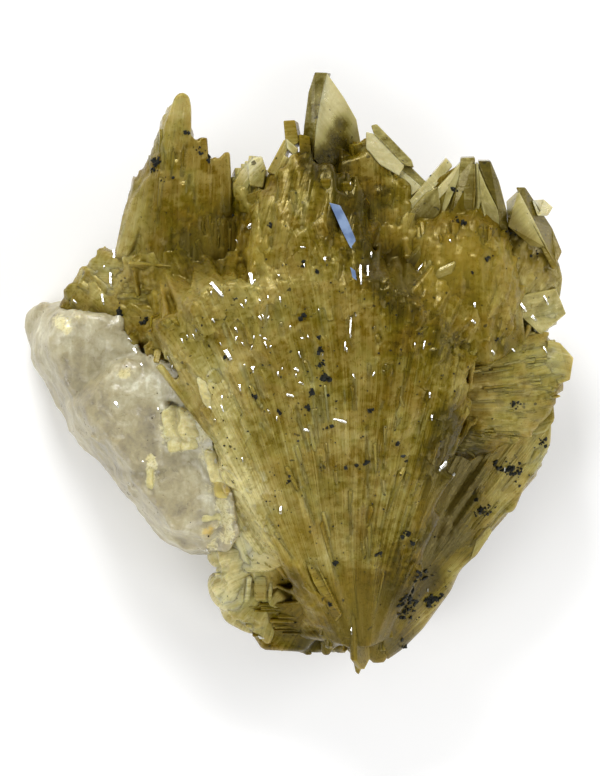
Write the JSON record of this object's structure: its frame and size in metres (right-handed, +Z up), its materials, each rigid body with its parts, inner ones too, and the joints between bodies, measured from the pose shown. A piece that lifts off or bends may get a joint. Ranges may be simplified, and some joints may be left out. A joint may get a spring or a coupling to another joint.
{
  "type": "barite calcite chalcopyrite specimen",
  "caption": "Mineral cabinet specimen lying on its broken back: fans of golden bladed barite growing from one root across pale calcite, with black chalcopyrite grains.",
  "frame": {"origin": "on the surface that the specimen lies on, under the middle of its outline", "axes": "+Z up out of the broken back towards the side that shows, +Y from the root of the large fan to the tip of the tallest blade, +X across, away from the calcite"},
  "size_m": [0.0767, 0.0844, 0.0345],
  "materials": {
    "barite": "polished",
    "clear_barite": "polished",
    "pale_barite": "satin",
    "calcite": "satin",
    "chalcopyrite": "satin"
  },
  "bodies": {
    "root": {"calcite_matrix": "calcite", "central_fan": "barite", "upper_centre_sheaf": "barite", "upper_right_sheaf": "barite", "right_fan": "barite", "lower_right_plate": "barite", "upper_left_horn": "barite", "root_ledge": "barite", "left_shoulder": "barite", "tall_blade": "clear_barite", "top_right_blades": "clear_barite", "far_right_blades": "clear_barite", "lower_left_blades": "pale_barite", "chalcopyrite_root_crystal": "chalcopyrite", "chalcopyrite_root_cluster": "chalcopyrite", "chalcopyrite_plate_low": "chalcopyrite", "chalcopyrite_plate_middle": "chalcopyrite", "chalcopyrite_plate_high": "chalcopyrite", "chalcopyrite_fan_cluster": "chalcopyrite", "chalcopyrite_horn_cluster": "chalcopyrite"}
  },
  "joints": []
}
